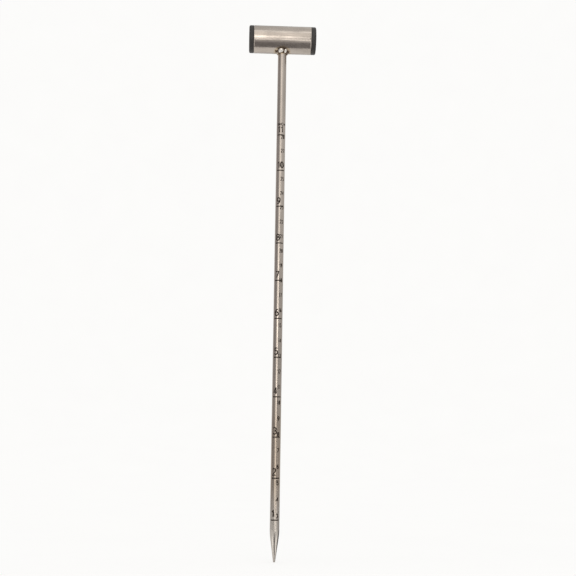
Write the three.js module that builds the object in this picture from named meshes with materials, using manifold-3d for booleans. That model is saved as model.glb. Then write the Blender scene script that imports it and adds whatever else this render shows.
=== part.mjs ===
// Garden dibber: a slim stainless steel rod with a ground point, welded under a short T-handle tube
// whose two open ends are closed by moulded plastic plugs. The rod carries a depth scale that
// counts up from the point: one etched line for every inch.
//
// Millimetres, +Z up. The origin is the very point of the rod, which is the zero of the scale.
// The handle tube runs along X and the scale faces -Y.

import * as THREE from "three";
import { mergeVertices } from "three/addons/utils/BufferGeometryUtils.js";
import Module from "manifold-3d";

const wasm = await Module();
wasm.setup();

// ---- driving dimensions ----

const INCH = 25.4;
const FIT_GAP = 0.1; // clearance wherever two separate pieces lie against each other

const TUBE = {
  radius: 19.05 / 2, // three-quarter inch tube
  wall: 1.2,
  length: 40,
  height: 351.15, // of the tube's axis above the point
  edge: 0.35, // broken edge at each sawn end
};

const ROD = {
  radius: 3,
  coneLength: 17,
  noseRadius: 0.7, // the point is blunted to a small ball
  topEdge: 0.5,
};

const SCALE = {
  marks: 11,
  lineWidth: 0.7,
  lineDepth: 0.12,
  halfSweep: THREE.MathUtils.degToRad(52), // each line reaches this far round to both sides
};

const WELD = {
  leg: 1.8, // reach of the fillet along the rod and along the tube
  bulge: 0.3, // how far its face stands out from a straight fillet
};

const PLUG = {
  headRadius: TUBE.radius - 0.1,
  headThickness: 3.2,
  headRounding: 1,
  stemRadius: 7.3,
  stemLength: 9.5,
  stemWall: 1.4,
  ribs: 3,
  ribRadius: 8.2,
  ribPitch: 2.6,
  ribThickness: 0.9,
};

const SEGMENTS = { rod: 48, tube: 64, plug: 48, arc: 6, weld: 48, weldFace: 8, weldRoot: 4, line: 20 };

const tubeBore = TUBE.radius - TUBE.wall;

// The rod crosses the tube and stops where the rim of its top end meets the curve of the far wall.
const rodTop = TUBE.height + Math.sqrt(tubeBore ** 2 - (ROD.radius - ROD.topEdge) ** 2) - FIT_GAP;

// ---- helpers ----

const point = (x, y) => new THREE.Vector2(x, y);

// A solid of revolution about +Z from a profile of (radius, height) points.
function turned(profile, segments) {
  return new THREE.LatheGeometry(profile, segments).rotateX(Math.PI / 2);
}

// Points along an arc of a profile, both ends included.
function arcPoints(centreX, centreY, radius, from, to, steps) {
  return Array.from({ length: steps + 1 }, (_, i) => {
    const angle = from + ((to - from) * i) / steps;
    return point(centreX + radius * Math.cos(angle), centreY + radius * Math.sin(angle));
  });
}

function toSolid(geometry) {
  const bare = geometry.clone();
  bare.deleteAttribute("normal");
  bare.deleteAttribute("uv");
  const merged = mergeVertices(bare);
  return new wasm.Manifold(
    new wasm.Mesh({
      numProp: 3,
      vertProperties: merged.attributes.position.array,
      triVerts: new Uint32Array(merged.index.array),
    }),
  );
}

function toGeometry(solid) {
  const { vertProperties, triVerts } = solid.getMesh();
  const geometry = new THREE.BufferGeometry();
  geometry.setAttribute("position", new THREE.BufferAttribute(vertProperties, 3));
  geometry.setIndex(new THREE.BufferAttribute(triVerts, 1));
  geometry.computeVertexNormals();
  return geometry;
}

function cut(geometry, cutters) {
  const solid = cutters.reduce((left, cutter) => left.subtract(toSolid(cutter)), toSolid(geometry));
  return toGeometry(solid);
}

// ---- rod ----

// The ground cone runs tangent into the ball-shaped nose, then out to the full rod.
function rodProfile() {
  const { radius, coneLength, noseRadius, topEdge } = ROD;
  const rise = coneLength - noseRadius;
  const toShoulder = Math.hypot(radius, rise);
  const tangent = Math.atan2(rise, radius) - Math.acos(noseRadius / toShoulder);
  return [
    point(0, 0),
    ...arcPoints(0, noseRadius, noseRadius, -Math.PI / 2, tangent, SEGMENTS.arc).slice(1),
    point(radius, coneLength),
    point(radius, rodTop - topEdge),
    point(radius - topEdge, rodTop),
    point(0, rodTop),
  ];
}

// Cutter for one etched line: a thin sector of a ring, centred on the front of the rod.
function scaleLine(height) {
  const front = -Math.PI / 2;
  const [start, end] = [front - SCALE.halfSweep, front + SCALE.halfSweep];
  const shape = new THREE.Shape();
  shape.absarc(0, 0, ROD.radius + SCALE.lineDepth, start, end, false);
  shape.absarc(0, 0, ROD.radius - SCALE.lineDepth, end, start, true);
  const options = { depth: SCALE.lineWidth, bevelEnabled: false, curveSegments: SEGMENTS.line };
  return new THREE.ExtrudeGeometry(shape, options).translate(0, 0, height - SCALE.lineWidth / 2);
}

function rodGeometry() {
  const lines = Array.from({ length: SCALE.marks }, (_, i) => scaleLine((i + 1) * INCH));
  return cut(turned(rodProfile(), SEGMENTS.rod), lines);
}

// ---- handle tube, about its own centre ----

function tubeProfile() {
  const { radius, length, edge } = TUBE;
  const half = length / 2;
  return [
    point(tubeBore, -half),
    point(radius - edge, -half),
    point(radius, -half + edge),
    point(radius, half - edge),
    point(radius - edge, half),
    point(tubeBore, half),
    point(tubeBore, -half),
  ];
}

// The rod comes in through a hole drilled in the lower wall only.
function tubeGeometry() {
  const tube = turned(tubeProfile(), SEGMENTS.tube).rotateY(Math.PI / 2);
  const holeRadius = ROD.radius + FIT_GAP;
  const drill = new THREE.CylinderGeometry(holeRadius, holeRadius, TUBE.radius, SEGMENTS.rod);
  return cut(tube, [drill.rotateX(Math.PI / 2).translate(0, 0, -TUBE.radius)]);
}

// ---- weld bead ----

// Height of the tube's lower surface, with the fit gap, at a distance y in front of the rod's axis.
function tubeUnderside(y) {
  return TUBE.height - Math.sqrt((TUBE.radius + FIT_GAP) ** 2 - y ** 2);
}

// Section of the fillet in the half-plane that leaves the rod's axis at this angle: the bulging
// outer face from the rod to the tube, then back along the tube's own curve to the rod.
function weldSection(angle) {
  const inner = ROD.radius + FIT_GAP;
  const outer = inner + WELD.leg;
  const along = (radius) => tubeUnderside(radius * Math.sin(angle));
  const onRod = point(inner, along(inner) - WELD.leg);
  const onTube = point(outer, along(outer));
  const facing = point(onTube.y - onRod.y, onRod.x - onTube.x).normalize();
  const face = Array.from({ length: SEGMENTS.weldFace + 1 }, (_, i) => {
    const t = i / SEGMENTS.weldFace;
    return onRod.clone().lerp(onTube, t).addScaledVector(facing, 4 * WELD.bulge * t * (1 - t));
  });
  const root = Array.from({ length: SEGMENTS.weldRoot }, (_, i) => {
    const radius = outer + ((inner - outer) * (i + 1)) / SEGMENTS.weldRoot;
    return point(radius, along(radius));
  });
  return [...face, ...root];
}

// The section is carried once round the rod and the rings are joined into a closed, saddle-shaped ring.
function weldGeometry() {
  const turns = SEGMENTS.weld;
  const positions = [];
  const triangles = [];
  const sections = Array.from({ length: turns }, (_, i) => {
    const angle = (2 * Math.PI * i) / turns;
    const section = weldSection(angle);
    section.forEach(({ x, y }) => positions.push(x * Math.cos(angle), x * Math.sin(angle), y));
    return section;
  });
  const count = sections[0].length;
  for (let i = 0; i < turns; i++) {
    for (let j = 0; j < count; j++) {
      const [a, b] = [i * count + j, i * count + ((j + 1) % count)];
      const next = (i + 1) % turns;
      const [c, d] = [next * count + j, next * count + ((j + 1) % count)];
      triangles.push(a, c, b, b, c, d);
    }
  }
  const geometry = new THREE.BufferGeometry();
  geometry.setAttribute("position", new THREE.Float32BufferAttribute(positions, 3));
  geometry.setIndex(triangles);
  geometry.computeVertexNormals();
  return geometry;
}

// ---- end plug, its head on the outside (+Z) and its seat on the tube's end at z = 0 ----

// One side of the hollow ribbed stem, from its open end up to the underside of the head.
function stemOutline() {
  const { stemRadius, stemLength, ribs, ribRadius, ribPitch, ribThickness } = PLUG;
  const outline = [point(stemRadius, -stemLength)];
  for (let i = ribs; i > 0; i--) {
    const base = -i * ribPitch;
    outline.push(
      point(stemRadius, base - ribThickness),
      point(ribRadius, base),
      point(ribRadius, base + ribThickness / 2),
      point(stemRadius, base + ribThickness / 2),
    );
  }
  return [...outline, point(stemRadius, 0)];
}

function plugGeometry() {
  const { headRadius, headThickness, headRounding, stemRadius, stemLength, stemWall } = PLUG;
  const hollow = stemRadius - stemWall;
  const roundFrom = headThickness - headRounding;
  return turned(
    [
      point(0, 0),
      point(hollow, 0),
      point(hollow, -stemLength),
      ...stemOutline(),
      point(headRadius, 0),
      ...arcPoints(headRadius - headRounding, roundFrom, headRounding, 0, Math.PI / 2, SEGMENTS.arc),
      point(0, headThickness),
    ],
    SEGMENTS.plug,
  );
}

// ---- materials ----

const groundSteel = () => new THREE.MeshStandardMaterial({ color: 0xa9a59a, roughness: 0.32, metalness: 1 });
const polishedSteel = () => new THREE.MeshStandardMaterial({ color: 0xb0aca2, roughness: 0.24, metalness: 1 });
const weldSteel = () => new THREE.MeshStandardMaterial({ color: 0x9a9184, roughness: 0.3, metalness: 1 });
const blackPlastic = () => new THREE.MeshStandardMaterial({ color: 0x1f1e1c, roughness: 0.6, metalness: 0 });

// ---- assembly ----

function piece(name, geometry, material) {
  const mesh = new THREE.Mesh(geometry, material);
  mesh.name = name;
  return mesh;
}

function endPlug(name, side) {
  const plug = piece(name, plugGeometry(), blackPlastic());
  plug.position.x = side * (TUBE.length / 2 + FIT_GAP);
  plug.rotation.y = (side * Math.PI) / 2;
  return plug;
}

function handle() {
  const group = new THREE.Group();
  group.position.z = TUBE.height;
  group.add(piece("handle_tube", tubeGeometry(), polishedSteel()));
  group.add(endPlug("end_plug_left", -1));
  group.add(endPlug("end_plug_right", 1));
  return group;
}

const dibber = new THREE.Group();
dibber.add(piece("shaft_rod", rodGeometry(), groundSteel()));
dibber.add(piece("weld_bead", weldGeometry(), weldSteel()));
dibber.add(handle());

export default dibber;
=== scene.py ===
# Looks of the garden dibber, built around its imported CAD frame.
# Metres, +Z up: the point of the rod is the origin, the handle tube runs along X, the depth scale faces -Y.

import math
from collections import namedtuple

import bmesh
import bpy
from mathutils import Matrix, Vector, geometry, noise


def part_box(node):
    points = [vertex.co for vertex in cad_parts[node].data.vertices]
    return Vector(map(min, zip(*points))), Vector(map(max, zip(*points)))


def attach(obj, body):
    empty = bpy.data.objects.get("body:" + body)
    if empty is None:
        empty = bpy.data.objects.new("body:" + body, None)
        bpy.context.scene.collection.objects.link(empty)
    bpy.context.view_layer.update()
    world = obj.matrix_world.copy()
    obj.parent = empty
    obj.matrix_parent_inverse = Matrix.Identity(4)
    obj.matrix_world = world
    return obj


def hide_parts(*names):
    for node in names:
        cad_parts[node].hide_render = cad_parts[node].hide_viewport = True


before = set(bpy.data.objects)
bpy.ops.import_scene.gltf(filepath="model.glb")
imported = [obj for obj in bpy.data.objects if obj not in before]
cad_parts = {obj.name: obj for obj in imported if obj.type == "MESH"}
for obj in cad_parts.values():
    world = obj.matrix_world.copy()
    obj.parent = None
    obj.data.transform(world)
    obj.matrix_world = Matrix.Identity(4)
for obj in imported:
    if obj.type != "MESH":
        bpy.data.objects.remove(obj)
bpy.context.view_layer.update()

MM = 0.001
TURN = 2 * math.pi

# ---- sizes read from the frame ----

rod_low, rod_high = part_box("shaft_rod")
tube_low, tube_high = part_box("handle_tube")
weld_low, weld_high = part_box("weld_bead")
plug_low, plug_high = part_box("end_plug_right")

ROD_RADIUS = (rod_high.x - rod_low.x) / 2
ROD_TOP = rod_high.z
TUBE_RADIUS = (tube_high.y - tube_low.y) / 2
TUBE_HALF = (tube_high.x - tube_low.x) / 2
TUBE_HEIGHT = (tube_high.z + tube_low.z) / 2
WELD_RADIUS = (weld_high.x - weld_low.x) / 2
WELD_LEG = WELD_RADIUS - ROD_RADIUS
PLUG_FACE = plug_high.x
PLUG_RADIUS = (plug_high.z - plug_low.z) / 2
PLUG_STEM_END = plug_low.x

# ---- shape details that the CAD leaves plain ----

INCH = 25.4 * MM
CENTIMETRE = 10 * MM

CONE_LENGTH = 17 * MM
NOSE_RADIUS = 0.7 * MM
SHOULDER_BLEND = 3 * MM  # the ground cone runs out softly into the bar
BAR_START = CONE_LENGTH + 2 * SHOULDER_BLEND  # the rod is a plain cylinder from here up
TOP_EDGE = 0.5 * MM
ROD_SIDES = 128
CONE_STEP = 0.4 * MM
BAR_STEP = 4 * MM
GRIND_DEPTH = 0.016 * MM  # unevenness left lengthwise on the cone by the grinding belt
GRIND_FACETS = 11
GRIND_WANDER = 5  # how far the facets stray round the cone, in radians of their wave
GRIND_LENGTH = 8 * MM  # over which they stray
GRIND_END = 1.1  # where the facets end, as a share of the cone's height

FIT_GAP = 0.1 * MM  # clearance between two pieces
TUBE_WALL = 1.2 * MM
TUBE_EDGE = 0.35 * MM
TUBE_SIDES = 160
TUBE_STEP = 0.6 * MM
TUBE_WAVINESS = 0.09 * MM  # hand polishing leaves the tube very slightly uneven
WAVE_LENGTH = 14 * MM  # of that unevenness, along the tube
WAVES_ROUND = 1.6  # how quickly it changes round the tube
DRILL_STOP = 2 * MM  # the drill for the rod stops this far under the tube's axis
DRILL_SIDES = 96

ETCH_DEPTH = 0.10 * MM
ETCH_DEPTH_SMALL = 0.07 * MM
INCH_MARKS = range(1, 12)
CENTIMETRE_MARKS = range(3, 29)
LINE_WIDTH = 0.7 * MM
LINE_SWEEP = math.radians(52)
# The pen of some lettering: width and height of a glyph, width of the stroke and gap between glyphs.
Pen = namedtuple("Pen", "width height stroke gap")
INCH_PEN = Pen(2.8 * MM, 4.85 * MM, 0.76 * MM, 0.15 * MM)
FIRST_PEN = Pen(3.1 * MM, 4.85 * MM, 1.15 * MM, 0)  # the lowest inch numeral is cut heavier
CM_PEN = Pen(1.7 * MM, 3.0 * MM, 0.62 * MM, 0)  # for a single figure
CM_PEN_CLOSE = Pen(1.25 * MM, 2.9 * MM, 0.47 * MM, 0.18 * MM)  # for two figures
HEAD_PEN = Pen(1.55 * MM, 2.1 * MM, 0.48 * MM, 0.3 * MM)
NUMERAL_GAP = 1.5 * MM  # between an inch line's middle and the foot of its numeral
NUMERAL_LEFT = math.radians(-46)  # where every inch numeral starts, round from the front
CM_CENTRE = math.radians(25)
CM_DROP = 0.6 * MM  # the top of a centimetre numeral lies this far under its centimetre
HEAD_HEIGHT = 286.1 * MM
STRIP_WIDTH = 0.2 * MM  # a mark is cut into strips this wide, so that it bends round the rod


# ---- mesh helpers ----

def object_from(name, verts, faces, material):
    mesh = bpy.data.meshes.new(name)
    mesh.from_pydata(verts, [], faces)
    mesh.materials.append(material)
    mesh.validate()
    piece = bpy.data.objects.new(name, mesh)
    bpy.context.scene.collection.objects.link(piece)
    return piece


def smooth(piece, sharp_angle=math.radians(35)):
    piece.data.polygons.foreach_set("use_smooth", [True] * len(piece.data.polygons))
    piece.data.set_sharp_from_angle(angle=sharp_angle)
    return piece


def arc(centre, radius, start, end, steps):
    """Points of an arc in a (radius, height) profile, both ends included."""
    angles = [start + (end - start) * i / steps for i in range(steps + 1)]
    return [(centre[0] + radius * math.cos(a), centre[1] + radius * math.sin(a)) for a in angles]


def spaced(start, end, step):
    """Values from start to end, both included, no further apart than step."""
    count = max(1, math.ceil(abs(end - start) / step))
    return [start + (end - start) * i / count for i in range(count + 1)]


def revolve(profile, segments, shape=lambda radius, height, angle: radius):
    """Vertices and faces of a body turned about +Z. A profile that doesn't reach the axis closes on itself.
    shape gives the radius at an angle, for bodies that aren't quite round."""
    verts, rings, faces = [], [], []
    for radius, height in profile:
        start = len(verts)
        if radius < 1e-9:
            verts.append((0, 0, height))
            rings.append([start] * segments)
            continue
        for i in range(segments):
            angle = TURN * i / segments
            r = shape(radius, height, angle)
            verts.append((r * math.cos(angle), r * math.sin(angle), height))
        rings.append(list(range(start, start + segments)))
    hollow = profile[0][0] > 1e-9
    pairs = list(zip(rings, rings[1:])) + ([(rings[-1], rings[0])] if hollow else [])
    for low, high in pairs:
        for i in range(segments):
            j = (i + 1) % segments
            corners = list(dict.fromkeys((low[i], low[j], high[j], high[i])))
            if len(corners) > 2:
                faces.append(corners)
    return verts, faces


def cut(piece, cutter):
    """Cuts piece by cutter with an exact boolean. The cut faces take the cutter's material."""
    modifier = piece.modifiers.new("cut", "BOOLEAN")
    modifier.operation = "DIFFERENCE"
    modifier.solver = "EXACT"
    modifier.material_mode = "TRANSFER"
    modifier.object = cutter
    graph = bpy.context.evaluated_depsgraph_get()
    mesh = bpy.data.meshes.new_from_object(piece.evaluated_get(graph))
    piece.modifiers.clear()
    piece.data = mesh
    bpy.data.objects.remove(cutter)
    drop_needless_corners(mesh)
    return piece


def drop_needless_corners(mesh):
    """Removes the points that a boolean leaves along straight edges, where only two edges meet."""
    shape = bmesh.new()
    shape.from_mesh(mesh)
    bmesh.ops.dissolve_verts(shape, verts=[v for v in shape.verts if len(v.link_edges) == 2])
    shape.to_mesh(mesh)
    shape.free()


# ---- rod ----

def rod_profile():
    cone_rise = CONE_LENGTH - NOSE_RADIUS
    reach = math.hypot(ROD_RADIUS, cone_rise)
    tangent = math.atan2(cone_rise, ROD_RADIUS) - math.acos(NOSE_RADIUS / reach)
    nose = arc((0, NOSE_RADIUS), NOSE_RADIUS, -math.pi / 2, tangent, 8)
    foot_radius, foot_height = nose[-1]
    slope = (ROD_RADIUS - foot_radius) / (CONE_LENGTH - foot_height)
    cone = []
    for height in spaced(foot_height, BAR_START, CONE_STEP)[1:]:
        straight = foot_radius + slope * (height - foot_height)
        cone.append((soft_minimum(straight, ROD_RADIUS, slope * SHOULDER_BLEND), height))
    bar = [(ROD_RADIUS, height) for height in spaced(cone[-1][1], ROD_TOP - TOP_EDGE, BAR_STEP)[1:]]
    return [(0, 0), *nose[1:], *cone, *bar, (ROD_RADIUS - TOP_EDGE, ROD_TOP), (0, ROD_TOP)]


def soft_minimum(a, b, blend):
    """The lesser of a and b, rounded over where they are within blend of each other."""
    overlap = max(blend - abs(a - b), 0) / blend
    return min(a, b) - overlap ** 2 * blend / 4


def ground_radius(radius, height, angle):
    """The cone is ground by hand, which leaves faint lengthwise facets. They fade out at its two ends."""
    share = (height - NOSE_RADIUS) / (CONE_LENGTH - NOSE_RADIUS)
    if not 0 < share < GRIND_END:
        return radius
    fade = min(1, 5 * share) * min(1, (GRIND_END - share) / 0.15)
    wander = noise.noise(Vector((math.cos(angle), math.sin(angle), height / GRIND_LENGTH)))
    facets = math.cos(GRIND_FACETS * angle + GRIND_WANDER * wander)
    return radius - GRIND_DEPTH * fade * (0.5 + 0.5 * facets)


def bow(centre_x, centre_y, radius_x, radius_y, start, end):
    """Part of an ellipse in a glyph's box, from one angle to another in degrees."""
    steps = max(6, round(abs(end - start) / 18))
    angles = [math.radians(start + (end - start) * i / steps) for i in range(steps + 1)]
    return [(centre_x + radius_x * math.cos(a), centre_y + radius_y * math.sin(a)) for a in angles]


# Each glyph is one or more pen strokes in a box one wide and one high.
GLYPHS = {
    "0": [bow(0.5, 0.5, 0.5, 0.5, 0, 360)],
    "1": [[(0, 0.74), (1, 1), (1, 0)]],
    "2": [bow(0.5, 0.72, 0.5, 0.28, 165, -30) + [(0, 0), (1, 0)]],
    "3": [bow(0.48, 0.76, 0.44, 0.24, 155, -90), bow(0.48, 0.26, 0.52, 0.26, 90, -155)],
    "4": [[(0.72, 0), (0.72, 1)], [(0.72, 1), (0, 0.27), (1, 0.27)]],
    "5": [[(0.92, 1), (0.14, 1), (0.08, 0.52)] + bow(0.48, 0.31, 0.52, 0.31, 125, -155)],
    "6": [bow(0.5, 0.3, 0.5, 0.3, 0, 360), bow(0.86, 0.3, 0.86, 0.7, 85, 180)],
    "7": [[(0, 1), (1, 1), (0.35, 0)]],
    "8": [bow(0.5, 0.77, 0.42, 0.23, 0, 360), bow(0.5, 0.27, 0.5, 0.27, 0, 360)],
    "9": [bow(0.5, 0.7, 0.5, 0.3, 0, 360), bow(0.14, 0.7, 0.86, 0.7, 0, -95)],
    "C": [bow(0.6, 0.5, 0.6, 0.5, 55, 305)],
    "I": [[(0.5, 0), (0.5, 1)]],
    "M": [[(0, 0), (0, 1)], [(0, 1), (0.5, 0.35), (1, 1)], [(1, 1), (1, 0)]],
    "N": [[(0, 0), (0, 1)], [(0, 1), (1, 0)], [(1, 0), (1, 1)]],
}
NARROW = {"1": 0.64, "I": 0.3}  # widths of the narrow glyphs, as a share of the others
MITRE_LIMIT = 0.7  # keeps the corners of a pen stroke short
INSIDE = 1  # what delaunay_2d_cdt is to return: the triangles inside the given faces


def pen_edges(path, half):
    """Left and right edge points of a pen stroke, half wide to each side of its path."""
    closed = (path[0] - path[-1]).length < half / 100
    edges = []
    for i, here in enumerate(path):
        before = path[i - 1] if i else (path[-2] if closed else here)
        after = path[i + 1] if i + 1 < len(path) else (path[1] if closed else here)
        arriving = (here - before).normalized() if here != before else (after - here).normalized()
        leaving = (after - here).normalized() if after != here else arriving
        side = (arriving + leaving).normalized().orthogonal()
        reach = half / max(MITRE_LIMIT, side.dot(arriving.orthogonal()))
        edges += [here + side * reach, here - side * reach]
    return edges


def flat_glyph(character, width, height, stroke):
    """A letter or digit as a flat mesh drawn with a pen, centred on x and standing on y = 0."""
    points, quads = [], []
    for path in GLYPHS[character]:
        spots = [Vector(((x - 0.5) * (width - stroke), stroke / 2 + y * (height - stroke))) for x, y in path]
        start = len(points)
        points += pen_edges(spots, stroke / 2)
        quads += [[start + 2 * i + k for k in (0, 1, 3, 2)] for i in range(len(spots) - 1)]
    union = geometry.delaunay_2d_cdt([p / MM for p in points], [], quads, INSIDE, 1e-5)
    union_points, _, triangles, _, _, strokes_under = union
    flat = bmesh.new()
    verts = [flat.verts.new((p.x * MM, p.y * MM, 0)) for p in union_points]
    for corners, under in zip(triangles, strokes_under):
        if under:
            flat.faces.new([verts[i] for i in corners])
    bmesh.ops.delete(flat, geom=[v for v in flat.verts if not v.link_faces], context="VERTS")
    slice_upright(flat, width)
    return flat


def flat_bar(width, height):
    """A plain line as a flat mesh, centred on both axes."""
    flat = bmesh.new()
    corners = [(-1, -1), (1, -1), (1, 1), (-1, 1)]
    flat.faces.new([flat.verts.new((x * width / 2, y * height / 2, 0)) for x, y in corners])
    slice_upright(flat, width)
    return flat


def slice_upright(flat, width):
    """Cuts a flat mesh into upright strips, so that it can be bent round the rod."""
    for x in spaced(-width / 2, width / 2, STRIP_WIDTH)[1:-1]:
        whole = [*flat.verts, *flat.edges, *flat.faces]
        bmesh.ops.bisect_plane(flat, geom=whole, plane_co=(x, 0, 0), plane_no=(1, 0, 0), dist=1e-7)


def wrap(flat, height, angle, depth, verts, faces):
    """Adds to verts and faces the closed cutter that sinks a flat mark into the rod.
    The mark's origin goes to this height and this angle round from the front, towards +X."""
    for layer in (ROD_RADIUS - depth, ROD_RADIUS + depth):
        for v in flat.verts:
            a = angle + v.co.x / ROD_RADIUS
            verts.append((layer * math.sin(a), -layer * math.cos(a), height + v.co.y))
    flat.normal_update()
    flat.verts.index_update()
    count = len(flat.verts)
    base = len(verts) - 2 * count
    for face in flat.faces:
        up = face.normal.z > 0
        ring = [base + v.index for v in (face.verts if up else reversed(face.verts))]
        faces.append([i + count for i in ring])
        faces.append(list(reversed(ring)))
    for edge in flat.edges:
        if len(edge.link_faces) != 1:
            continue
        loop = edge.link_loops[0]
        a, b = loop.vert.index + base, loop.link_loop_next.vert.index + base
        if loop.face.normal.z < 0:
            a, b = b, a
        faces.append([a, b, b + count, a + count])
    flat.free()


def glyph_width(character, pen):
    return pen.width * NARROW.get(character, 1)


def row_width(text, pen):
    return sum(glyph_width(c, pen) for c in text) + pen.gap * (len(text) - 1)


def engrave(text, pen, height, angle, depth, verts, faces):
    """Adds a row of glyphs centred on an angle round from the front, with its foot at a height."""
    left = angle - row_width(text, pen) / (2 * ROD_RADIUS)
    for character in text:
        width = glyph_width(character, pen)
        glyph = flat_glyph(character, width, pen.height, pen.stroke)
        wrap(glyph, height, left + width / (2 * ROD_RADIUS), depth, verts, faces)
        left += (width + pen.gap) / ROD_RADIUS


def main_marks():
    """The inch lines, the inch numerals above them and the two column heads."""
    verts, faces = [], []
    for n in INCH_MARKS:
        line = flat_bar(2 * LINE_SWEEP * ROD_RADIUS, LINE_WIDTH)
        wrap(line, n * INCH, 0, ETCH_DEPTH, verts, faces)
        pen = FIRST_PEN if n == 1 else INCH_PEN
        middle = NUMERAL_LEFT + row_width(str(n), pen) / (2 * ROD_RADIUS)
        engrave(str(n), pen, n * INCH + NUMERAL_GAP, middle, ETCH_DEPTH, verts, faces)
    for text, degrees in (("IN", -29), ("CM", 30)):
        engrave(text, HEAD_PEN, HEAD_HEIGHT, math.radians(degrees), ETCH_DEPTH, verts, faces)
    return verts, faces


def centimetre_marks():
    """Small numerals down the right, each hanging just under its centimetre."""
    verts, faces = [], []
    for n in CENTIMETRE_MARKS:
        pen = CM_PEN if n < 10 else CM_PEN_CLOSE
        foot = n * CENTIMETRE - CM_DROP - pen.height
        engrave(str(n), pen, foot, CM_CENTRE, ETCH_DEPTH_SMALL, verts, faces)
    return verts, faces


def round_bar_normals(piece):
    """Gives the cylindrical stretch its true normals, so that the etching doesn't disturb its reflections."""
    mesh = piece.data
    normals = [(0, 0, 0)] * len(mesh.loops)
    for polygon in mesh.polygons:
        out = Vector((polygon.center.x, polygon.center.y, 0)).normalized()
        if polygon.center.z < BAR_START or polygon.normal.dot(out) < 0.99:
            continue
        for loop in polygon.loop_indices:
            corner = mesh.vertices[mesh.loops[loop].vertex_index].co
            normals[loop] = Vector((corner.x, corner.y, 0)).normalized()
    mesh.normals_split_custom_set(normals)


def make_rod(steel, etched):
    piece = object_from("dibber_rod", *revolve(rod_profile(), ROD_SIDES, ground_radius), steel)
    for marks in (main_marks, centimetre_marks):
        cut(piece, object_from("marks", *marks(), etched))
    smooth(piece)
    round_bar_normals(piece)
    return piece


# ---- handle tube ----

def tube_profile():
    """Section of the tube wall: a plain bore, broken outer edges and a dense run along the outside."""
    bore = TUBE_RADIUS - TUBE_WALL
    corner = TUBE_RADIUS - TUBE_EDGE
    end = TUBE_HALF - TUBE_EDGE
    left = arc((corner, -end), TUBE_EDGE, -math.pi / 2, 0, 5)
    right = arc((corner, end), TUBE_EDGE, 0, math.pi / 2, 5)
    run = [(TUBE_RADIUS, x) for x in spaced(-end, end, TUBE_STEP)[1:-1]]
    return [(bore, -TUBE_HALF), *left, *run, *right, (bore, TUBE_HALF)]


def polished_radius(radius, along, angle):
    """Slow unevenness of the polished outside, longer along the tube than round it."""
    if radius < TUBE_RADIUS - TUBE_EDGE / 2:
        return radius
    spot = Vector((WAVES_ROUND * math.cos(angle), WAVES_ROUND * math.sin(angle), along / WAVE_LENGTH))
    return radius - TUBE_WAVINESS * (0.5 + 0.5 * noise.noise(spot))


def make_tube(steel):
    piece = object_from("handle_barrel", *revolve(tube_profile(), TUBE_SIDES, polished_radius), steel)
    piece.data.transform(Matrix.Translation((0, 0, TUBE_HEIGHT)) @ Matrix.Rotation(math.pi / 2, 4, "Y"))
    hole = ROD_RADIUS + FIT_GAP
    top = TUBE_HEIGHT - DRILL_STOP
    drill = [(0, top - TUBE_RADIUS), (hole, top - TUBE_RADIUS), (hole, top), (0, top)]
    cut(piece, object_from("drill", *revolve(drill, DRILL_SIDES), steel))
    return smooth(piece)


# ---- weld ----

WELD_TURNS = 288
WELD_STEPS = 30  # across the face of the bead
WELD_ROOT_STEPS = 4  # across its back
WELD_RIPPLES = 40
WELD_RIPPLE = 0.02 * MM
RIPPLE_BEND = 1.6  # bends each ripple into a crescent
WELD_FUSED = 0.08 * MM  # how far the bead is sunk into the rod and the tube
WELD_HOLLOW = 0.20 * MM  # the fillet between the blobs is a little hollow
WELD_SLIM = 0.85  # reach of the fillet under the blobs, as a share of the CAD bead's
WELD_UNEVEN = 0.14  # how much that reach varies round the rod, as a share
WELD_LENGTHENED = 1.05  # reach along the rod, as a share of the reach along the tube
BLOB_SPREAD = 0.2  # a blob also makes the bead reach further, by this share of its height
BLOB_WIDTH = 1.08  # width of a blob's foot, as a share of the width of the bead
CREASE_HEIGHT = 0.34 * MM  # painted shade: lower places than this between the blobs are darkened brown
STAIN_AT_TUBE = 0.8  # how brown the heat leaves the bead along the tube, with 1 for fully brown
STAIN_AT_ROD = 0.2
STAIN_DRIFT = 0.35
# The blobs of filler that the bead was laid in: centre in degrees round from the front towards +X,
# half width in degrees, height in mm and how burnt the blob is.
WELD_BLOBS = (
    (-17, 31, 0.85, 0.0),
    (35, 16, 0.60, 0.0),
    (82, 33, 0.46, 0.6),
    (130, 33, 0.56, 0.3),
    (182, 33, 0.50, 0.15),
    (231, 31, 0.58, 0.25),
    (284, 34, 0.42, 0.6),
)


def underside(y):
    """Height of the tube's lower surface at a distance y in front of the rod's axis."""
    return TUBE_HEIGHT - math.sqrt(TUBE_RADIUS ** 2 - y ** 2)


def blob_at(angle, t):
    """How far the blobs stand out at an angle round the rod and a place t across the bead, and how burnt
    the one on top is. Each blob is a flattened dome, so there is a crease wherever two meet."""
    best, shade = 0, 1
    for centre, half_width, height, burn_and_crease_shade in WELD_BLOBS:
        apart = math.remainder(math.degrees(angle) + 90 - centre, 360) / half_width
        across = (2 * t - 1) / BLOB_WIDTH
        dome = height * MM * max(0, 1 - apart ** 2 - across ** 2) ** 0.8
        if dome > best:
            best, shade = dome, burn_and_crease_shade
    return best, shade


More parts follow.
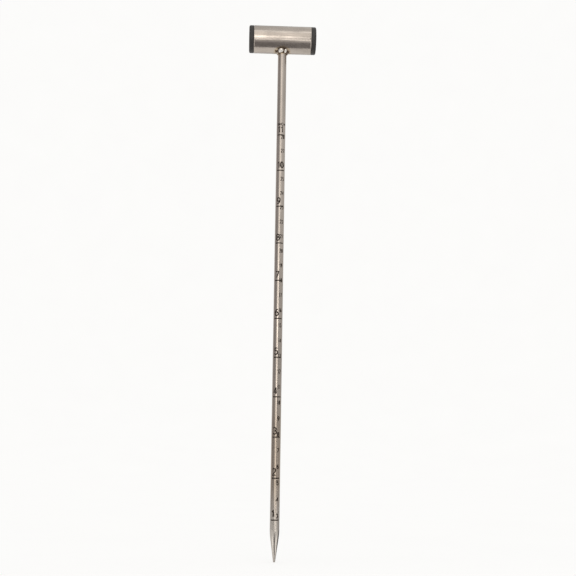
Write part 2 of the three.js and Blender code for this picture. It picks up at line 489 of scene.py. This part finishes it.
def bead_section(angle):
    """Outer face of the fillet from the rod to the tube, in the half-plane at this angle."""
    uneven = 1 + WELD_UNEVEN * noise.noise(Vector((2 * math.cos(angle), 2 * math.sin(angle), 3.7)))
    leg = WELD_LEG * uneven * WELD_SLIM + BLOB_SPREAD * blob_at(angle, 0.5)[0]
    inner, outer = ROD_RADIUS - WELD_FUSED, ROD_RADIUS + leg
    on_rod = Vector((inner, underside(inner * math.sin(angle)) - WELD_LENGTHENED * leg))
    on_tube = Vector((outer, underside(outer * math.sin(angle)) + WELD_FUSED))
    facing = Vector((on_tube.y - on_rod.y, on_rod.x - on_tube.x)).normalized()
    face = []
    for i in range(WELD_STEPS + 1):
        t = i / WELD_STEPS
        crescent = angle * WELD_RIPPLES / TURN + RIPPLE_BEND * (t - 0.5) ** 2
        ripple = WELD_RIPPLE * math.sin(math.pi * crescent) ** 2
        stand = blob_at(angle, t)[0] + (ripple - WELD_HOLLOW) * math.sin(math.pi * t)
        face.append(on_rod.lerp(on_tube, t) + facing * stand)
    return face


def bead_root(angle, outer):
    """Back of the bead, just inside the tube's surface, from its outer edge in to the rod."""
    inner = ROD_RADIUS - WELD_FUSED
    root = []
    for i in range(1, WELD_ROOT_STEPS + 1):
        radius = outer + (inner - outer) * i / WELD_ROOT_STEPS
        root.append(Vector((radius, underside(radius * math.sin(angle)) + WELD_FUSED)))
    return root


def make_weld(steel):
    verts, faces = [], []
    for i in range(WELD_TURNS):
        angle = TURN * i / WELD_TURNS
        face = bead_section(angle)
        section = [*face, *bead_root(angle, face[-1].x)]
        verts += [(p.x * math.cos(angle), p.x * math.sin(angle), p.y) for p in section]
    count = len(section)
    for i in range(WELD_TURNS):
        here, there = i * count, (i + 1) % WELD_TURNS * count
        for j in range(count):
            k = (j + 1) % count
            faces.append([here + j, there + j, there + k, here + k])
    piece = object_from("weld_fillet", verts, faces, steel)
    # the bead's brown share: heat tint, plus painted shade in the creases between blobs
    burn_and_crease_shade = piece.data.attributes.new("burn_and_crease_shade", "FLOAT", "POINT")
    burn_and_crease_shade.data.foreach_set("value", [heat_stain(i // count, i % count) for i in range(len(verts))])
    return smooth(piece, math.radians(60))


def heat_stain(turn, step):
    """How brown the bead is: heat tint most along the tube and on burnt blobs, painted shade in creases."""
    if step > WELD_STEPS:
        return 1.0
    angle, t = TURN * turn / WELD_TURNS, step / WELD_STEPS
    swell, shade = blob_at(angle, t)
    on_tube = max(0, 2 * t - 1) ** 5
    on_rod = max(0, 1 - 2 * t) ** 3
    # painted shade: the creases between blobs, lower than CREASE_HEIGHT, are darkened brown
    crease = 1 - min(1, swell / CREASE_HEIGHT)
    drift = noise.noise(Vector((3 * math.cos(angle), 3 * math.sin(angle), 2 * t)))
    painted_crease_shade = crease * (0.3 + 0.75 * t)
    toes = STAIN_AT_TUBE * on_tube + STAIN_AT_ROD * on_rod
    return min(1, max(0, toes + painted_crease_shade + shade + STAIN_DRIFT * drift))


# ---- end plugs ----

HEAD_ROUNDING = 1.0 * MM
STEM_RADIUS = 7.3 * MM
STEM_WALL = 1.4 * MM
STEM_EDGE = 0.3 * MM
HEAD_EDGE = 0.2 * MM  # rounding where the head meets the tube
RIBS = 3
RIB_RADIUS = 8.2 * MM
RIB_PITCH = 2.6 * MM
RIB_THICKNESS = 0.9 * MM
GATE_RADIUS = 1.1 * MM
GATE_DEPTH = 0.18 * MM
PLUG_SIDES = 128


def plug_profile(seat, face):
    """Section of a plug turned about its own axis, its head between seat and face and its stem below seat."""
    end = PLUG_STEM_END
    hollow = STEM_RADIUS - STEM_WALL
    stem = [(hollow, end), (STEM_RADIUS - STEM_EDGE, end), (STEM_RADIUS, end + STEM_EDGE)]
    for i in range(RIBS, 0, -1):
        base = seat - i * RIB_PITCH
        stem += [
            (STEM_RADIUS, base - RIB_THICKNESS),
            (RIB_RADIUS, base),
            (RIB_RADIUS, base + RIB_THICKNESS / 2),
            (STEM_RADIUS, base + RIB_THICKNESS / 2),
        ]
    under = arc((PLUG_RADIUS - HEAD_EDGE, seat + HEAD_EDGE), HEAD_EDGE, -math.pi / 2, 0, 3)
    corner = arc((PLUG_RADIUS - HEAD_ROUNDING, face - HEAD_ROUNDING), HEAD_ROUNDING, 0, math.pi / 2, 8)
    head = [(STEM_RADIUS, seat), *under, *corner, *gate_profile(face)]
    return [(0, seat), (hollow, seat), *stem, *head]


def gate_profile(face):
    """The shallow dimple where the plastic was let in, from its rim on the face to its middle."""
    sphere = GATE_RADIUS ** 2 / (2 * GATE_DEPTH)
    rim = -math.pi / 2 + 2 * GATE_DEPTH / GATE_RADIUS
    dimple = arc((0, face + sphere - GATE_DEPTH), sphere, rim, -math.pi / 2, 5)
    return [*dimple[:-1], (0, dimple[-1][1])]


def make_plug(name, side, plastic):
    profile = plug_profile(TUBE_HALF + FIT_GAP, PLUG_FACE)
    piece = object_from(name, *revolve(profile, PLUG_SIDES), plastic)
    turn = Matrix.Rotation(side * math.pi / 2, 4, "Y")
    piece.data.transform(Matrix.Translation((0, 0, TUBE_HEIGHT)) @ turn)
    return smooth(piece)


# ---- material helpers ----

def new_material(name):
    material = bpy.data.materials.new(name)
    material.use_nodes = True
    return material, material.node_tree, material.node_tree.nodes["Principled BSDF"]


def add(tree, kind, settings=None, **inputs):
    """Adds a node. An input's value is a number, a colour or the socket that feeds it."""
    made = tree.nodes.new(kind)
    for name, value in (settings or {}).items():
        setattr(made, name, value)
    for name, value in inputs.items():
        feed(tree, made.inputs[name.replace("_", " ")], value)
    return made


def feed(tree, socket, value):
    if isinstance(value, bpy.types.NodeSocket):
        tree.links.new(value, socket)
    else:
        socket.default_value = value


def calculate(tree, operation, first, second):
    made = tree.nodes.new("ShaderNodeMath")
    made.operation = operation
    feed(tree, made.inputs[0], first)
    feed(tree, made.inputs[1], second)
    return made.outputs[0]


def grain(tree, stretch, detail=3):
    """Noise over the object's own coordinates, stretch giving its waves per metre along x, y and z."""
    place = add(tree, "ShaderNodeTexCoord").outputs["Object"]
    scaled = add(tree, "ShaderNodeMapping", Vector=place, Scale=stretch).outputs[0]
    return add(tree, "ShaderNodeTexNoise", Vector=scaled, Scale=1.0, Detail=detail).outputs["Fac"]


def between(tree, value, low, high, out_low=0.0, out_high=1.0):
    """Maps value from low..high to out_low..out_high, held at both ends."""
    made = add(tree, "ShaderNodeMapRange", From_Min=low, From_Max=high, To_Min=out_low, To_Max=out_high)
    feed(tree, made.inputs["Value"], value)
    return made.outputs[0]


def ramp(tree, value, stops):
    """A colour ramp from (position, colour) stops."""
    made = add(tree, "ShaderNodeValToRGB", Fac=value)
    elements = made.color_ramp.elements
    while len(elements) < len(stops):
        elements.new(0.5)
    for element, (position, colour) in zip(elements, stops):
        element.position = position
        element.color = (*colour, 1)
    return made.outputs["Color"]


def mixed(tree, share, first, second, blend="MIX"):
    """Mixes two colours. The node has sockets for every kind of data: 6, 7 and 2 are those for colours."""
    made = add(tree, "ShaderNodeMix", {"data_type": "RGBA", "blend_type": blend})
    feed(tree, made.inputs["Factor"], share)
    feed(tree, made.inputs[6], first)
    feed(tree, made.inputs[7], second)
    return made.outputs[2]


def relief(tree, height, depth):
    """Bump from a 0..1 height, depth metres high."""
    return add(tree, "ShaderNodeBump", Height=height, Distance=depth, Strength=1.0).outputs[0]


# ---- materials ----

STEEL = (0.60, 0.535, 0.475)
STEEL_DULL = (0.45, 0.40, 0.355)
# brown of heat tint, also used for the painted shade in the weld's creases
HEAT_AND_SHADE_BROWN = (0.105, 0.070, 0.052)
HEAT_STRAW = (0.78, 0.69, 0.54)
HEAT_PALE = (0.95, 0.90, 0.80)
UNTINTED = (1, 1, 1)
LOWER_ROD_WARM = (1.0, 0.96, 0.90)
POINT_COOL = (0.94, 0.975, 1.0)
WELD_BRIGHT = (0.90, 0.86, 0.80)
WELD_DULL = (0.62, 0.54, 0.43)
ETCH_DARK = (0.020, 0.013, 0.008)
ETCH_PALE = (0.080, 0.055, 0.037)
PLASTIC = (0.042, 0.037, 0.034)
PLASTIC_WORN = (0.075, 0.067, 0.062)

HEAT_REACH = (4.5 * MM, 6.6 * MM)  # from the joint: burnt up to the first, clean beyond the second
HEAT_RISE = 1 * MM  # the joint that the heat spreads from lies this far over the tube's underside
HEAT_DROP = 1.6  # heat reaches less far down the rod than out along the tube, by this ratio
HEAT_WANDER = 0.7 * MM
SCORCHED = ((-4.6, -2.2), (4.7, -2.0))  # x and y in mm, beside the bead, where the torch lingered
SCORCH_REACH = (0.2 * MM, 1.5 * MM)
LOWER_TINT_REACH = 120 * MM  # height over which the lower rod changes colour
LOWER_TINT_WANDER = 8 * MM


def distance_to(tree, place, spot):
    away = add(tree, "ShaderNodeVectorMath", {"operation": "DISTANCE"})
    feed(tree, away.inputs[0], place)
    feed(tree, away.inputs[1], spot)
    return away.outputs["Value"]


def heat_tint(tree, colour):
    """Colours steel round the weld: burnt brown at its toe, then straw, then clean metal."""
    place = add(tree, "ShaderNodeTexCoord").outputs["Object"]
    stretched = add(tree, "ShaderNodeMapping", Vector=place, Scale=(1, 1, HEAT_DROP)).outputs[0]
    joint = (0, 0, (TUBE_HEIGHT - TUBE_RADIUS + HEAT_RISE) * HEAT_DROP)
    wander = between(tree, grain(tree, (520, 520, 520)), 0.3, 0.7, -HEAT_WANDER, HEAT_WANDER)
    reach = calculate(tree, "ADD", distance_to(tree, stretched, joint), wander)
    heat = between(tree, reach, *HEAT_REACH, 1.0, 0.0)
    for x, y in SCORCHED:
        spot = (x * MM, y * MM, underside(y * MM))
        away = calculate(tree, "ADD", distance_to(tree, place, spot), wander)
        scorch = between(tree, away, *SCORCH_REACH, 1.0, 0.0)
        heat = calculate(tree, "MAXIMUM", heat, scorch)
    stops = [(0, UNTINTED), (0.35, HEAT_PALE), (0.7, HEAT_STRAW), (1, HEAT_AND_SHADE_BROWN)]
    return mixed(tree, 1.0, colour, ramp(tree, heat, stops), "MULTIPLY")


def soil_tint(tree, colour):
    """Colours the lower rod: slightly cooler at the point, a faint warm brown above it, fading out higher up.
    """
    place = add(tree, "ShaderNodeTexCoord").outputs["Object"]
    height = add(tree, "ShaderNodeSeparateXYZ", Vector=place).outputs["Z"]
    wander = between(tree, grain(tree, (500, 500, 45)), 0.3, 0.7, -LOWER_TINT_WANDER, LOWER_TINT_WANDER)
    share = between(tree, calculate(tree, "ADD", height, wander), 0, LOWER_TINT_REACH)
    stops = [(0.21, POINT_COOL), (0.42, LOWER_ROD_WARM), (0.66, LOWER_ROD_WARM), (0.88, UNTINTED)]
    return mixed(tree, 1.0, colour, ramp(tree, share, stops), "MULTIPLY")


def make_steel(name, line_stretch, line_depth, roughness_range, blotch_stretch, tints):
    """Worked stainless steel: fine lines one way, a little dulling and colour in larger blotches."""
    material, tree, surface = new_material(name)
    lines = grain(tree, line_stretch, 4)
    blotches = grain(tree, blotch_stretch)
    dulled = between(tree, blotches, 0.45, 0.75)
    colour = mixed(tree, dulled, (*STEEL, 1), (*STEEL_DULL, 1))
    colour = mixed(tree, between(tree, lines, 0.35, 0.7, 0, 0.22), colour, (*STEEL_DULL, 1))
    for tint in tints:
        colour = tint(tree, colour)
    roughness = between(tree, calculate(tree, "ADD", lines, blotches), 0.7, 1.4, *roughness_range)
    feed(tree, surface.inputs["Base Color"], colour)
    feed(tree, surface.inputs["Metallic"], 1.0)
    feed(tree, surface.inputs["Roughness"], roughness)
    feed(tree, surface.inputs["Normal"], relief(tree, lines, line_depth))
    return material


def make_weld_steel():
    """Bright bead, heat-tinted brown along both toes, with painted shade darkening its creases."""
    material, tree, surface = new_material("weld_steel")
    # brown share: heat tint, plus painted shade in the creases between blobs
    burn_and_crease_shade = add(tree, "ShaderNodeAttribute", {"attribute_name": "burn_and_crease_shade"}).outputs["Fac"]
    specks = grain(tree, (2600, 2600, 2600), 4)
    share = calculate(tree, "ADD", burn_and_crease_shade, between(tree, specks, 0.4, 0.7, -0.12, 0.15))
    stops = [(0, WELD_BRIGHT), (0.4, WELD_DULL), (0.8, HEAT_AND_SHADE_BROWN)]
    feed(tree, surface.inputs["Base Color"], ramp(tree, share, stops))
    feed(tree, surface.inputs["Metallic"], 1.0)
    feed(tree, surface.inputs["Roughness"], between(tree, share, 0.0, 1.0, 0.19, 0.36))
    feed(tree, surface.inputs["Normal"], relief(tree, specks, 8e-6))
    return material


def make_etch():
    """Burnt-in marking: matt brown-black oxide, a little uneven."""
    material, tree, surface = new_material("etched_mark")
    grit = grain(tree, (3000, 3000, 3000), 4)
    colour = ramp(tree, grit, [(0.35, ETCH_DARK), (0.75, ETCH_PALE)])
    feed(tree, surface.inputs["Base Color"], colour)
    feed(tree, surface.inputs["Roughness"], between(tree, grit, 0.3, 0.7, 0.5, 0.7))
    feed(tree, surface.inputs["Specular IOR Level"], 0.18)
    feed(tree, surface.inputs["Normal"], relief(tree, grit, 1.2e-5))
    return material


def make_plastic():
    """Moulded black polyethylene with a fine spark-eroded texture and a few dull scuffs."""
    material, tree, surface = new_material("black_plastic")
    texture = grain(tree, (3800, 3800, 3800), 2)
    scuffs = grain(tree, (260, 900, 260), 5)
    worn = between(tree, scuffs, 0.55, 0.72)
    colour = mixed(tree, worn, (*PLASTIC, 1), (*PLASTIC_WORN, 1))
    feed(tree, surface.inputs["Base Color"], colour)
    feed(tree, surface.inputs["Roughness"], between(tree, scuffs, 0.35, 0.7, 0.38, 0.6))
    feed(tree, surface.inputs["Normal"], relief(tree, texture, 1.6e-5))
    return material


# ---- studio ----

WORLD_LIGHT = 0.5
PAPER_GLOW = 0.52
WARM = (1.0, 0.965, 0.92)
NEUTRAL = (1.0, 0.99, 0.975)
SHADE = (1.0, 0.95, 0.96)
PAPER_DARK = (0.89, 0.89, 0.88)
PAPER_PALE = (0.93, 0.93, 0.92)
FLOOR_EDGE = 2.2  # the floor is flat as far out as this
WALL = 3.4
WALL_TOP = 5.0
FRONT = -1.0  # where the panels in front of the object stand
# Heights that the panels share.
UNDER_FLOOR = -0.10
FOOT = -0.03
KNEE = 0.12
WAIST = 0.28
CHEST = 0.54
TOP = 1.20


def make_backdrop():
    """A round pale floor that curves up into a pale wall all the way round. The steel doesn't mirror it."""
    material, tree, surface = new_material("pale_paper")
    fibres = grain(tree, (9, 9, 9), 4)
    feed(tree, surface.inputs["Base Color"], ramp(tree, fibres, [(0, PAPER_DARK), (1, PAPER_PALE)]))
    feed(tree, surface.inputs["Roughness"], 0.9)
    feed(tree, surface.inputs["Specular IOR Level"], 0.0)
    feed(tree, surface.inputs["Emission Color"], (1, 1, 1, 1))
    feed(tree, surface.inputs["Emission Strength"], PAPER_GLOW)
    bend = arc((FLOOR_EDGE, WALL - FLOOR_EDGE), WALL - FLOOR_EDGE, -math.pi / 2, 0, 24)
    piece = object_from("backdrop", *revolve([(0, 0), *bend, (WALL, WALL_TOP)], 96), material)
    piece.visible_glossy = False
    piece.visible_diffuse = False
    piece.visible_shadow = False
    smooth(piece)


def make_card(name, corners, colour, strength):
    """A flat panel that the object mirrors but the camera doesn't see: a soft light, or a dark flag."""
    material, tree, surface = new_material(name)
    feed(tree, surface.inputs["Base Color"], (0, 0, 0, 1))
    feed(tree, surface.inputs["Specular IOR Level"], 0.0)
    feed(tree, surface.inputs["Emission Color"], (*colour, 1))
    feed(tree, surface.inputs["Emission Strength"], strength)
    piece = object_from(name, corners, [(0, 1, 2, 3)], material)
    piece.visible_camera = False
    piece.visible_diffuse = False
    piece.visible_shadow = False


def upright(start, end, bottom, top):
    """Corners of a standing panel whose foot runs from start to end, both (x, y)."""
    return [(*start, bottom), (*end, bottom), (*end, top), (*start, top)]


def front(left, right, bottom, top, nearer=0):
    """Corners of a panel that stands in front of the object, square to it."""
    y = FRONT + nearer
    return upright((left, y), (right, y), bottom, top)


def level(height, *corners):
    """Corners of a lying panel, from its corners' (x, y)."""
    return [(x, y, height) for x, y in corners]


def level_box(height, left, right, near, far):
    """Corners of a lying panel that is square to the object."""
    return level(height, (left, near), (right, near), (right, far), (left, far))


def make_world():
    world = bpy.data.worlds.new("studio")
    world.use_nodes = True
    sky = world.node_tree.nodes["Background"]
    sky.inputs["Color"].default_value = (*NEUTRAL, 1)
    sky.inputs["Strength"].default_value = WORLD_LIGHT
    bpy.context.scene.world = world


def make_lights():
    """Soft lights in front with a hotter strip among them, and weaker ones over, behind, beside and below."""
    make_card("front_low", front(-0.45, -0.12, FOOT, KNEE), WARM, 1.15)
    make_card("front_low_centre", front(-0.12, -0.005, FOOT, KNEE), WARM, 1.7)
    make_card("front_low_right", front(0.03, 0.085, FOOT, 0.32), NEUTRAL, 1.15)
    make_card("front_waist", front(-0.50, -0.02, KNEE, WAIST), WARM, 1.45)
    make_card("front_middle", front(-0.50, 0.04, WAIST, CHEST), WARM, 1.45)
    make_card("front_hot", front(-0.08, 0.018, 0.20, 0.45, nearer=0.01), WARM, 3.8)
    make_card("front_warm", front(-0.50, -0.08, 0.20, 0.45, nearer=0.01), WARM, 2.0)
    make_card("front_high", front(-0.45, 0.08, CHEST, TOP), WARM, 1.25)
    make_card("front_side", front(0.12, 0.90, 0.50, TOP), NEUTRAL, 0.85)
    make_card("front_foot", front(-0.02, 1.20, UNDER_FLOOR, FOOT), WARM, 2.3)
    overhead = [(-0.9, FRONT, TOP), (0.9, FRONT, TOP), (0.9, -0.70, 1.35), (-0.9, -0.70, 1.35)]
    make_card("overhead", overhead, NEUTRAL, 1.25)
    make_card("overhead_band_left", level_box(1.40, -0.9, 0.02, -0.68, -0.20), NEUTRAL, 0.60)
    make_card("overhead_band_right", level_box(1.40, 0.02, 0.9, -0.68, -0.20), NEUTRAL, 0.88)
    make_card("overhead_back_left", level_box(1.45, -0.9, 0.05, -0.20, 0.6), NEUTRAL, 0.60)
    make_card("overhead_back_right", level_box(1.45, 0.05, 0.9, -0.20, 0.6), NEUTRAL, 0.80)
    make_card("left_foot", upright((-0.92, FRONT), (-1.1, 0.36), UNDER_FLOOR, FOOT), NEUTRAL, 1.05)
    make_card("right_low", upright((0.55, -0.8), (0.9, 0.3), 0.30, 0.50), NEUTRAL, 0.60)
    make_card("right_high", upright((0.55, -0.8), (0.9, 0.3), 0.50, 1.30), NEUTRAL, 0.62)
    make_card("behind", upright((-2, 1.2), (2, 1.2), UNDER_FLOOR, 1.5), NEUTRAL, 0.65)
    make_card("floor_light", level_box(UNDER_FLOOR - 0.01, -3, 3, -3, 3), NEUTRAL, 0.80)
    for side in (-1, 1):
        make_card("floor_pad", level_box(UNDER_FLOOR, side * 0.16, side * 0.36, -0.30, -0.05), NEUTRAL, 1.5)


def make_flags():
    """Dark cards. Those under the floor are mirrored by the metal all the same, as the floor isn't."""
    make_card("left_flag", upright((-0.77, -0.64), (-0.94, 0.36), KNEE, 0.9), SHADE, 0.34)
    make_card("left_foot_flag", upright((-0.77, -0.64), (-0.94, 0.36), FOOT, KNEE), SHADE, 0.24)
    make_card("right_flag", upright((0.50, FRONT), (0.95, 0.2), FOOT, 0.10), SHADE, 0.34)
    make_card("left_low_flag", upright((-0.50, FRONT), (-0.77, -0.64), FOOT, KNEE), SHADE, 0.22)
    make_card("front_flag", front(0.085, 0.50, FOOT, 0.14), SHADE, 0.20)
    make_card("front_waist_flag", front(0.085, 0.45, 0.14, 0.32), SHADE, 0.28)
    make_card("front_foot_flag", front(-0.90, -0.12, UNDER_FLOOR, FOOT), SHADE, 0.34)
    make_card("near_flag", level_box(UNDER_FLOOR, -0.10, 0.10, -0.45, 0.02), SHADE, 0.17)
    far = level(UNDER_FLOOR, (-0.10, -0.86), (0.01, -0.86), (0.10, -0.45), (-0.10, -0.45))
    side = level(UNDER_FLOOR, (0.20, 0.02), (1.3, -0.04), (1.3, 1.1), (0.20, 1.1))
    make_card("far_flag", far, SHADE, 0.32)
    make_card("side_flag", side, SHADE, 0.16)


CAMERA_TARGET = Vector((6.3, 0, 173.4)) * MM
CAMERA_DISTANCE = 561 * MM
CAMERA_YAW = math.radians(-2.145)
CAMERA_PITCH = math.radians(11.839)
CAMERA_ROLL = math.radians(0.799)
CAMERA_LENS = 53.125  # in mm, as is the width of the sensor
CAMERA_SENSOR = 36


def make_camera():
    unrolled = Matrix.Rotation(CAMERA_YAW, 4, "Z") @ Matrix.Rotation(math.pi / 2 + CAMERA_PITCH, 4, "X")
    turn = unrolled @ Matrix.Rotation(CAMERA_ROLL, 4, "Z")
    camera = bpy.data.objects.new("camera", bpy.data.cameras.new("camera"))
    camera.data.lens = CAMERA_LENS
    camera.data.sensor_width = CAMERA_SENSOR
    camera.data.clip_start = 0.01
    away = turn @ Vector((0, 0, CAMERA_DISTANCE))
    camera.matrix_world = Matrix.Translation(CAMERA_TARGET + away) @ turn
    bpy.context.scene.collection.objects.link(camera)
    bpy.context.scene.camera = camera


# ---- the dibber ----

def stand_for(node, piece):
    """Puts a finished piece in the place of its CAD node."""
    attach(piece, "root")
    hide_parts(node)


def make_dibber():
    ground_steel = make_steel(
        "ground_steel",
        line_stretch=(3400, 3400, 60),
        line_depth=1.6e-6,
        roughness_range=(0.17, 0.30),
        blotch_stretch=(90, 90, 28),
        tints=(heat_tint, soil_tint),
    )
    polished_steel = make_steel(
        "polished_steel",
        line_stretch=(160, 2600, 2600),
        line_depth=1.2e-6,
        roughness_range=(0.14, 0.28),
        blotch_stretch=(60, 140, 140),
        tints=(heat_tint,),
    )
    black_plastic = make_plastic()
    stand_for("shaft_rod", make_rod(ground_steel, make_etch()))
    stand_for("handle_tube", make_tube(polished_steel))
    stand_for("weld_bead", make_weld(make_weld_steel()))
    stand_for("end_plug_left", make_plug("plug_left", -1, black_plastic))
    stand_for("end_plug_right", make_plug("plug_right", 1, black_plastic))


make_camera()
make_backdrop()
make_world()
make_lights()
make_flags()
make_dibber()

bpy.context.scene.view_settings.view_transform = "Standard"
